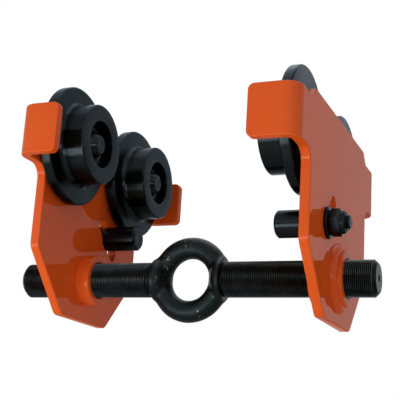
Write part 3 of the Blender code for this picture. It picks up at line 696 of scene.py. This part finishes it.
SEAL_FRONT = BEARING_FRONT - 0.4 * MM
SEAL_OUTLINE = ((0.8, 12.7), (0.0, 12.7), (0.0, 13.4), (0.3, 13.7), (0.3, 15.0), (0.0, 15.2),
                (0.0, 15.8), (0.8, 15.8))  # depth and radius in mm
seal_mesh = turned("seal", eased([(SEAL_FRONT - depth * MM, radius * MM)
                                  for depth, radius in SEAL_OUTLINE], 0.12 * MM, 2))

AXLE_RADIUS = 8.5 * MM
HEAD_RADIUS = 12.4 * MM
TIP_RADIUS = 7.6 * MM
AXLE_TIP = HUB_FACE - 1.0 * MM
axle_mesh = turned("axle_pin", eased([
    (-PLATE_THICKNESS / 2, 0), (-PLATE_THICKNESS / 2, AXLE_RADIUS),
    (BEARING_FRONT + AIR, AXLE_RADIUS), (BEARING_FRONT + AIR, HEAD_RADIUS),
    (BEARING_FRONT + 1.1 * MM, HEAD_RADIUS), (AXLE_TIP, TIP_RADIUS), (AXLE_TIP, 0)],
    0.5 * MM))
print("faces of ring, seal, axle:",
      [len(mesh.polygons) for mesh in (ring_mesh, seal_mesh, axle_mesh)])

# %% [markdown]
# ## The spring ring
# The ring is stamped from spring steel. It is open at one side, where two lugs stand
# inwards, each with a small hole for the tips of the pliers that squeeze it.

# %% Stamping the ring and drilling its lugs
CLIP_OUTER = 20.9 * MM
CLIP_INNER = CLIP_OUTER - 2.9 * MM
CLIP_THICKNESS = 1.75 * MM
CLIP_BACK = BEARING_FRONT + AIR
CLIP_TURN = -math.radians(24)
LUG_END = CLIP_OUTER - 5.6 * MM
MOUTH = 2.0 * MM
LUG_FAR = MOUTH + 5.0 * MM
LUG_HOLE = 1.0 * MM
HOLE_IN = 2.15 * MM
UP = math.pi / 2
opening = math.asin(MOUTH / CLIP_OUTER)
root = math.asin(LUG_FAR / CLIP_INNER)
clip_outline = [
    *arc((0, 0), CLIP_OUTER, UP - opening, opening - 3 * UP, 90),
    (-MOUTH, LUG_END), (-LUG_FAR, LUG_END),
    *arc((0, 0), CLIP_INNER, root - 3 * UP, UP - root, 80),
    (LUG_FAR, LUG_END), (MOUTH, LUG_END)]
clip_mesh = raised("spring_ring", clip_outline, CLIP_BACK, CLIP_BACK + CLIP_THICKNESS)
for sign in (-1, 1):
    drill = turned("lug_drill", [
        (CLIP_BACK - 3 * MM, 0), (CLIP_BACK - 3 * MM, LUG_HOLE),
        (CLIP_BACK + 5 * MM, LUG_HOLE), (CLIP_BACK + 5 * MM, 0)], 24)
    drill.transform(Matrix.Translation((0, sign * (MOUTH + LUG_FAR) / 2, LUG_END + HOLE_IN)))
    clip_mesh = cut_by(clip_mesh, drill)
clip_mesh = with_modifiers(clip_mesh, bevel(0.15 * MM, 2, 40),
                           ("WEIGHTED_NORMAL", {"keep_sharp": True}))
clip_mesh.transform(Matrix.Rotation(CLIP_TURN, 4, "X"))
print("spring ring faces:", len(clip_mesh.polygons))

for side, tag, place in AXLES:
    add_piece(f"{tag}_bearing_ring", ring_mesh, place, shade_darkened_bearing, f"{tag}_wheel_set",
              f"{tag}_outer_ring")
    add_piece(f"{tag}_seal", seal_mesh, place, seal_rubber, f"{tag}_wheel_set",
              f"{tag}_hub_seal")
    add_piece(f"{tag}_spring_ring", clip_mesh, place, oxide_steel, f"{tag}_wheel_set",
              f"{tag}_circlip")
    add_piece(f"{tag}_axle", axle_mesh, place, oxide_steel, f"{side}_side",
              f"{tag}_axle_pin")

# %% [markdown]
# ## The forged eye
# In the die, hot steel flows from the ring into the two bosses, so no line divides
# them: the surface sweeps from one to the other. A formula can say that. For any
# point, work out the distance to a ring and to two bosses, and take the smaller of the
# two with a soft minimum, which melts them together over a few millimetres. Geometry
# Nodes fill a volume with this distance and skin it where the distance is zero. All
# sizes in this tree are in millimetres.

# %% A tree that melts a ring and two bosses together
EYE_SIZES = {"Ring radius": 27.2, "Bar radius": 9.2, "Boss radius": 17.6,
             "Narrowing": 27.2 / 26.2, "Boss middle": 29.5, "Left end": 34.4,
             "Right end": 31.0, "Melt": 6.0, "Unevenness": 0.35}
EYE_ROOM = {"X": 38, "Y": 20, "Z": 38}  # from the middle to each side
VOXEL = 0.6
LUMP_WIDTH = 1 / 0.13
CORNER_MELT = 0.5
NOSE_STRETCH = 1.7
RIGHT_CHAMFER = 1.0
LEFT_TAPER = 3.0
SLOPE = 0.7071  # 45 degrees
FALL_OFF = 0.2  # of the density, for each millimetre


def hypotenuse(first, second):
    """Add nodes for the long side of a right-angled triangle."""
    return calc("SQRT", plus(times(first, first), times(second, second)))


eye_tree, size_of = new_tree("forged_eye", EYE_SIZES)
where = add(eye_tree, "ShaderNodeVectorMath", {
    0: add(eye_tree, "GeometryNodeInputPosition"), "Scale": 1 / MM}, operation="SCALE")
x, y, z = add(eye_tree, "ShaderNodeSeparateXYZ", {0: where}).outputs
out = calc("ABSOLUTE", x)
# The hole is a little narrower than it is high.
from_ring = minus(hypotenuse(times(out, size_of["Narrowing"]), z), size_of["Ring radius"])
ring_gap = minus(hypotenuse(from_ring, y), size_of["Bar radius"])
# The boss has a blunt, oval nose: lengths along the axis count nearly double.
short_of = larger(minus(size_of["Boss middle"], out), 0.0)
nose_gap = minus(hypotenuse(times(short_of, NOSE_STRETCH), hypotenuse(y, z)),
                 size_of["Boss radius"])
past_right = minus(x, size_of["Right end"])
past_left = minus(times(x, -1.0), size_of["Left end"])
past_end = larger(past_left, past_right)
# The right boss is faced off with a small chamfer, the left one tapers to the thread.
corner = larger(*[times(plus(plus(past, nose_gap), cut), SLOPE)
                  for past, cut in ((past_right, RIGHT_CHAMFER), (past_left, LEFT_TAPER))])
boss_gap = calc("SMOOTH_MAX", calc("SMOOTH_MAX", nose_gap, past_end, CORNER_MELT), corner,
                CORNER_MELT)
melted = calc("SMOOTH_MAX", calc("SMOOTH_MIN", ring_gap, boss_gap, size_of["Melt"]), past_end,
              CORNER_MELT)
lumps = times(minus(noise(where, LUMP_WIDTH), 0.5), size_of["Unevenness"])
density = minus(1.0, times(plus(melted, lumps), FALL_OFF))
cloud = add(eye_tree, "GeometryNodeVolumeCube", {
    "Density": larger(density, 0.0), "Min": [-half * MM for half in EYE_ROOM.values()],
    "Max": [half * MM for half in EYE_ROOM.values()],
    **{f"Resolution {axis}": round(2 * half / VOXEL) for axis, half in EYE_ROOM.items()}})
skin = add(eye_tree, "GeometryNodeVolumeToMesh", {"Volume": cloud, "Threshold": 1.0})
end_tree(eye_tree, add(eye_tree, "GeometryNodeSetShadeSmooth", {"Geometry": skin}),
         size_of["Finish"])

eye_mesh = through_nodes("forged_eye", eye_tree, {**EYE_SIZES, "Finish": forged_steel})
eye_mesh.shade_smooth()
print("eye faces:", len(eye_mesh.polygons))
add_piece("forged_eye", eye_mesh, SPINDLE_PLACE, forged_steel, "spindle",
          "eye_spindle")

# %% [markdown]
# ## Threads
# A thread is one tooth shape that winds round a bar. Geometry Nodes start from a flat
# grid and roll it up: rows follow the winding, so each row is one corner of the tooth
# all the way along and stays crisp. Past the thread the rows go on over the end
# chamfer, down the end face and into the centre hole, so the bar closes by itself.

# %% A tree that rolls up a threaded bar
ROWS_A_TURN = 8
COLUMNS = 72
THREAD_DEPTH_SHARE = 0.6134
HALF_CREST = 1 / 16  # of the pitch
FLANK_RISE = 8 / 3  # a flank takes three eighths of the pitch
DRILL_SLOPE = 1.7
JOIN_DISTANCE = 0.002 * MM
THREAD_SIZES = ("Pitch", "Radius", "Relief", "Length", "Chamfer", "Drill radius")

thread_tree, size_of = new_tree("threaded_bar", (*THREAD_SIZES, "Rows"))
pitch, bar, relief, length, chamfer, drill = [size_of[name] for name in THREAD_SIZES]
rows = size_of["Rows"]
sheet = add(thread_tree, "GeometryNodeMeshGrid", {
    "Size X": rows, "Size Y": 1.0, "Vertices X": plus(rows, 1.0), "Vertices Y": COLUMNS + 1})
grid_x, grid_y, _ = add(thread_tree, "ShaderNodeSeparateXYZ", {
    0: add(thread_tree, "GeometryNodeInputPosition")}).outputs
row = calc("ROUND", plus(grid_x, times(rows, 0.5)))
turn = plus(grid_y, 0.5)
windings = plus(over(row, float(ROWS_A_TURN)), turn)
depth = times(pitch, THREAD_DEPTH_SHARE)
root_radius = minus(bar, depth)
lead = plus(root_radius, times(pitch, 2.0))
travel = times(minus(windings, calc("CEIL", over(lead, pitch))), pitch)
tooth = calc("PINGPONG", minus(windings, HALF_CREST), 0.5)
flank = smaller(larger(times(minus(tooth, HALF_CREST), FLANK_RISE), 0.0), 1.0)
thread_radius = minus(bar, times(flank, depth))
run_in = plus(root_radius, larger(smaller(travel, 0.0), minus(travel, relief)))
run_out = plus(minus(bar, chamfer), minus(length, travel))
radius = larger(smaller(smaller(thread_radius, run_in), run_out), 0.0)
on_bar = larger(smaller(travel, length), 0.0)
in_drill = larger(smaller(minus(drill, run_out), drill), 0.0)
angle = times(turn, math.tau)
rolled = add(thread_tree, "ShaderNodeCombineXYZ", {
    "X": minus(on_bar, times(in_drill, DRILL_SLOPE)), "Y": times(radius, calc("SINE", angle)),
    "Z": times(radius, calc("COSINE", angle))})
open_bar = add(thread_tree, "GeometryNodeSetPosition", {"Geometry": sheet, "Position": rolled})
end_tree(thread_tree, add(thread_tree, "GeometryNodeMergeByDistance", {
    "Geometry": open_bar, "Distance": JOIN_DISTANCE}), size_of["Finish"])


def threaded_bar(name, finish, *sizes):
    """Return a threaded bar along +X from the origin, its sizes as in THREAD_SIZES."""
    pitch, radius, _, length = sizes[:4]
    lead_turns = math.ceil((radius - pitch * THREAD_DEPTH_SHARE + 2 * pitch) / pitch)
    turns = lead_turns + length / pitch + radius / pitch + 3
    bm = bmesh.new()
    bm.from_mesh(through_nodes(name, thread_tree, {
        **dict(zip(THREAD_SIZES, sizes)), "Rows": float(math.ceil(turns * ROWS_A_TURN)),
        "Finish": finish}))
    return mesh_from(bm, name, 50)


# %% [markdown]
# ## The spindle's two halves
# Each half starts inside its boss and ends with a chamfer and a centre hole. The left
# half is the mirror image of the right, which also turns its thread's hand round.

# %% Threading the spindle
SPINDLE_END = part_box("eye_spindle")[1].x
SPINDLE_PITCH = 1.5 * MM
SPINDLE_RELIEF = 1.6 * MM
END_CHAMFER = 3.2 * MM
CENTRE_HOLE = 3.2 * MM
for side, start, way in (("left", 33.9 * MM, -1), ("right", 30.6 * MM, 1)):
    half = threaded_bar(f"{side}_thread", thread_steel, SPINDLE_PITCH, THREAD_RADIUS,
                        SPINDLE_RELIEF, SPINDLE_END - start, END_CHAMFER, CENTRE_HOLE)
    half.transform(Matrix.Scale(way, 4, (1, 0, 0)) @ Matrix.Translation((start, 0, 0)))
    if way < 0:
        half.flip_normals()
    print(side, "thread faces:", len(half.polygons))
    add_piece(f"{side}_spindle_thread", half, SPINDLE_PLACE, thread_steel, "spindle",
              "eye_spindle")

# %% [markdown]
# ## The anti-lift pins
# A pin under the beam's flange on each side keeps the trolley from jumping off. Its
# stud goes through the inclined slot and is held by a washer and a self-locking nut.
# The stud takes its thread from the same tree as the spindle.

# %% Pin, stud and washer
PIN_RADIUS = 11 * MM
PIN_LENGTH = 31.8 * MM
PIN_TAPER = 1.8 * MM
STUD_RADIUS = 6.0 * MM
STUD_PITCH = 1.75 * MM
STUD_RELIEF = 0.5 * MM
STUD_START = 1.0 * MM
STUD_CHAMFER = 1.0 * MM
STUD_BEYOND_NUT = 3.4 * MM
CLEAR_HOLE = 6.3 * MM
WASHER_RADIUS = 12.5 * MM
WASHER_THICKNESS = 2.5 * MM
WASHER_FACE = -PLATE_THICKNESS - AIR
WASHER_BACK = WASHER_FACE - WASHER_THICKNESS
NUT_FACE = WASHER_BACK - AIR
HEX_END = NUT_FACE - 8.6 * MM
NUT_END = HEX_END - 3.4 * MM
pin_mesh = turned("anti_lift_pin", eased([
    (AIR, 0), (AIR, PIN_RADIUS), (PIN_LENGTH - PIN_TAPER, PIN_RADIUS),
    (PIN_LENGTH, PIN_RADIUS - PIN_TAPER), (PIN_LENGTH, 0)], 0.3 * MM))
stud_mesh = threaded_bar("stud", oxide_steel, STUD_PITCH, STUD_RADIUS, STUD_RELIEF,
                         STUD_START - (NUT_END - STUD_BEYOND_NUT), STUD_CHAMFER, 0.0)
stud_mesh.transform(Matrix.Translation((STUD_START, 0, 0)) @ HALF_TURN)
washer_mesh = turned("washer", eased([
    (WASHER_BACK, CLEAR_HOLE), (WASHER_BACK, WASHER_RADIUS), (WASHER_FACE, WASHER_RADIUS),
    (WASHER_FACE, CLEAR_HOLE)], 0.35 * MM), 72)
print("faces of pin, stud, washer:",
      [len(mesh.polygons) for mesh in (pin_mesh, stud_mesh, washer_mesh)])

# %% [markdown]
# ## The self-locking nuts
# The nut is a hexagon bar whose corners are chamfered on a lathe, so it is made as the
# common part of a turned shape and a hexagon. Its crimped collar holds the nylon ring.

# %% Nut and nylon ring
HALF_FLATS = 9.5 * MM
CORNER_RADIUS = HALF_FLATS / math.cos(math.pi / 6)
FACE_RADIUS = 0.95 * HALF_FLATS
CORNER_CUT = (CORNER_RADIUS - FACE_RADIUS) * math.tan(math.radians(30))
COLLAR = 8.8 * MM
CRIMP_RADIUS = 7.0 * MM
CRIMP_DEPTH = NUT_END + 0.8 * MM
RING_ROOM = 7.8 * MM
ROOM_DEPTH = NUT_END + 3.3 * MM
NYLON_INNER, NYLON_OUTER = 6.0 * MM, 7.5 * MM
NYLON_FRONT, NYLON_BACK = NUT_END + 1.1 * MM, NUT_END + 3.0 * MM
nut_body = turned("lock_nut", eased([
    (NUT_FACE, CLEAR_HOLE), (NUT_FACE, FACE_RADIUS), (NUT_FACE - CORNER_CUT, CORNER_RADIUS),
    (HEX_END + CORNER_CUT, CORNER_RADIUS), (HEX_END, FACE_RADIUS),
    (HEX_END - 0.4 * MM, COLLAR), (NUT_END + 0.9 * MM, COLLAR), (NUT_END, COLLAR - 1.1 * MM),
    (NUT_END, CRIMP_RADIUS), (CRIMP_DEPTH, CRIMP_RADIUS), (CRIMP_DEPTH, RING_ROOM),
    (ROOM_DEPTH, RING_ROOM), (ROOM_DEPTH, CLEAR_HOLE)], 0.25 * MM, 2), 120)
hexagon = raised("hexagon", arc((0, 0), CORNER_RADIUS, math.radians(8), math.radians(368),
                                6)[:-1], -40 * MM, 10 * MM)
nut_mesh = with_modifiers(cut_by(nut_body, hexagon, "INTERSECT"), bevel(0.12 * MM, 2, 28))
nut_mesh.shade_smooth()
nut_mesh.set_sharp_from_angle(angle=math.radians(25))
nylon_mesh = turned("nylon_ring", eased([
    (NYLON_FRONT, NYLON_INNER), (NYLON_FRONT, NYLON_OUTER), (NYLON_BACK, NYLON_OUTER),
    (NYLON_BACK, NYLON_INNER)], 0.3 * MM), 64)
print("nut faces:", len(nut_mesh.polygons))

for side in SIDES:
    pin_axis = middle(f"{side}_anti_lift_pin")
    place = Matrix.Translation((0, pin_axis.y, pin_axis.z - SPINDLE_HEIGHT)) @ SIDES[side]
    for kind, mesh, finish, slot, solid in (
            ("pin", pin_mesh, oxide_steel, "black_oxide_steel", "anti_lift_pin"),
            ("stud", stud_mesh, oxide_steel, "black_oxide_steel", "anti_lift_pin"),
            ("washer", washer_mesh, oxide_steel, "black_oxide_steel", "washer"),
            ("nut", nut_mesh, oxide_steel, "black_oxide_steel", "lock_nut"),
            ("nylon", nylon_mesh, nut_nylon, "nylon", "nylon_ring")):
        add_piece(f"{side}_stop_{kind}", mesh, place, finish, f"{side}_lift_stop",
                  f"{side}_{solid}")

# %% [markdown]
# ## Pieces that stay as they are
# The inner ring, the balls, the rear seal and the spacer sleeve hide behind the
# others. Their solids already have the right shape and only need their finish.

# %% Finishes for the solids that stay
# The bearing finish carries painted shade in its darkened colour.
KEPT = {"inner_ring": shade_darkened_bearing, "ball_set": shade_darkened_bearing, "plate_seal": seal_rubber,
        "spacer_sleeve": oxide_steel}
for _, tag, _ in AXLES:
    for kind, finish in KEPT.items():
        node_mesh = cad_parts[f"{tag}_{kind}"].data
        node_mesh.materials.clear()
        node_mesh.materials.append(finish)
print("pieces made:", len(PIECES), "solids kept:", len(AXLES) * len(KEPT))

# %% [markdown]
# ## Floor and backdrop
# The picture is taken from below, as one sees a trolley that hangs on a beam, so the
# floor lies well below it. A pale world lights all sides softly. The background is made
# white only for the rays that meet it directly, or by way of a reflection, so that it
# adds no light of its own.

# %% Floor and backdrop
FLOOR_DEPTH = -450 * MM
FLOOR_HALF_SIDE = 3.0
FLOOR_MOTTLE = 0.25
WORLD_TONE = "#E4E8EC"
WORLD_STRENGTH = 0.38
floor_tone, spot, shader = new_material("pale_floor")
feed(shader, {"Base Color": blend(noise(spot, FLOOR_MOTTLE, 3.0), "#F2F2F0", "#F8F8F6"),
              "Roughness": 0.9})
bm = bmesh.new()
bmesh.ops.create_grid(bm, x_segments=1, y_segments=1, size=FLOOR_HALF_SIDE)
bmesh.ops.translate(bm, verts=bm.verts, vec=(0, 0, FLOOR_DEPTH))
floor_mesh = mesh_from(bm, "floor")
floor_mesh.materials.append(floor_tone)
floor = linked("floor", floor_mesh)

world = bpy.data.worlds.new("studio")
world.use_nodes = True
bpy.context.scene.world = world
tree = world.node_tree
tree.nodes.clear()
rays = add(tree, "ShaderNodeLightPath").outputs
seen = larger(larger(rays["Is Camera Ray"], rays["Is Glossy Ray"]), rays["Is Transmission Ray"])
lighting = add(tree, "ShaderNodeBackground", {"Color": linear(WORLD_TONE),
                                              "Strength": WORLD_STRENGTH})
backdrop = add(tree, "ShaderNodeBackground", {"Color": linear("#FFFFFF"), "Strength": 1.0})
add(tree, "ShaderNodeOutputWorld", {
    "Surface": add(tree, "ShaderNodeMixShader", {"Fac": seen, 1: lighting, 2: backdrop})})
print("floor at", round(FLOOR_DEPTH / MM), "mm, world", world.name)

# %% [markdown]
# ## Lamps
# Shiny dark steel shows mainly what it mirrors. Seen from this camera, the treads and
# the pins mirror a place low in front, so a soft panel stands there and gives them
# their highlights. A large lamp above, a key lamp from the right and a long one from
# the left light the enamel, and a small lamp low on the right picks out the weld.

# %% Placing the lamps
CENTRE = (0.01, 0.0, 0.09)
LAMPS = (  # name, place, width and height in metres, power in watts, tone
    ("key", (0.9, -1.1, 0.9), 1.5, 1.2, 2.0, "#FFFDF8"),
    ("fill", (-0.75, -1.15, 0.30), 0.95, 0.30, 1.0, "#F6F8FF"),
    ("top", (0.0, 0.3, 1.4), 1.2, 1.2, 7.0, "#FFFFFF"),
    ("low_front", (-0.24, -0.70, -0.24), 0.66, 0.28, 4.0, "#FAFFFC"),
    ("right_side", (0.66, -0.72, -0.06), 0.14, 0.14, 1.3, "#FFFFFF"))
for name, place, width, height, power, tone in LAMPS:
    light = bpy.data.lights.new(name, "AREA")
    light.shape = "RECTANGLE"
    light.size = width
    light.size_y = height
    light.energy = power
    light.color = linear(tone)[:3]
    holder = linked(name, light)
    holder.location = place
    holder.rotation_euler = (Vector(CENTRE) - Vector(place)).to_track_quat("-Z", "Y").to_euler()
print("lamps:", [name for name, *_ in LAMPS])

# %% [markdown]
# ## Camera
# The camera's place, turn and lens were worked out from the picture's own edges: the
# spindle's ends, the wheels' rims and the plates' corners must all fall where they
# do in the photograph. It stands low, to the right, and looks up. The lens shift only
# repeats how the picture was cropped.

# %% Setting the camera
IMAGE_SIDE = 400
FOCAL_PIXELS = 985.61
VIEW_CENTRE = (150.74, 195.25)
EYE_TO_CAMERA = (318.882 * MM, -758.411 * MM, -148.108 * MM)
right_way = Vector((0.908257, 0.411975, 0.073110))
up_way = Vector((0.042443, -0.264546, 0.963439))
forward = Vector((-0.416254, 0.871947, 0.257761))
camera_data = bpy.data.cameras.new("camera")
camera_data.sensor_width = 36.0
camera_data.lens = FOCAL_PIXELS / IMAGE_SIDE * camera_data.sensor_width
camera_data.shift_x = (IMAGE_SIDE / 2 - VIEW_CENTRE[0]) / IMAGE_SIDE
camera_data.shift_y = -(IMAGE_SIDE / 2 - VIEW_CENTRE[1]) / IMAGE_SIDE
camera = linked("camera", camera_data)
turn = Matrix((right_way, up_way, -forward)).transposed()
camera.matrix_world = SPINDLE_PLACE @ Matrix.Translation(EYE_TO_CAMERA) @ turn.to_4x4()
bpy.context.scene.camera = camera
bpy.context.scene.view_settings.view_transform = "Standard"
print("camera at", [round(value / MM, 1) for value in camera.location])
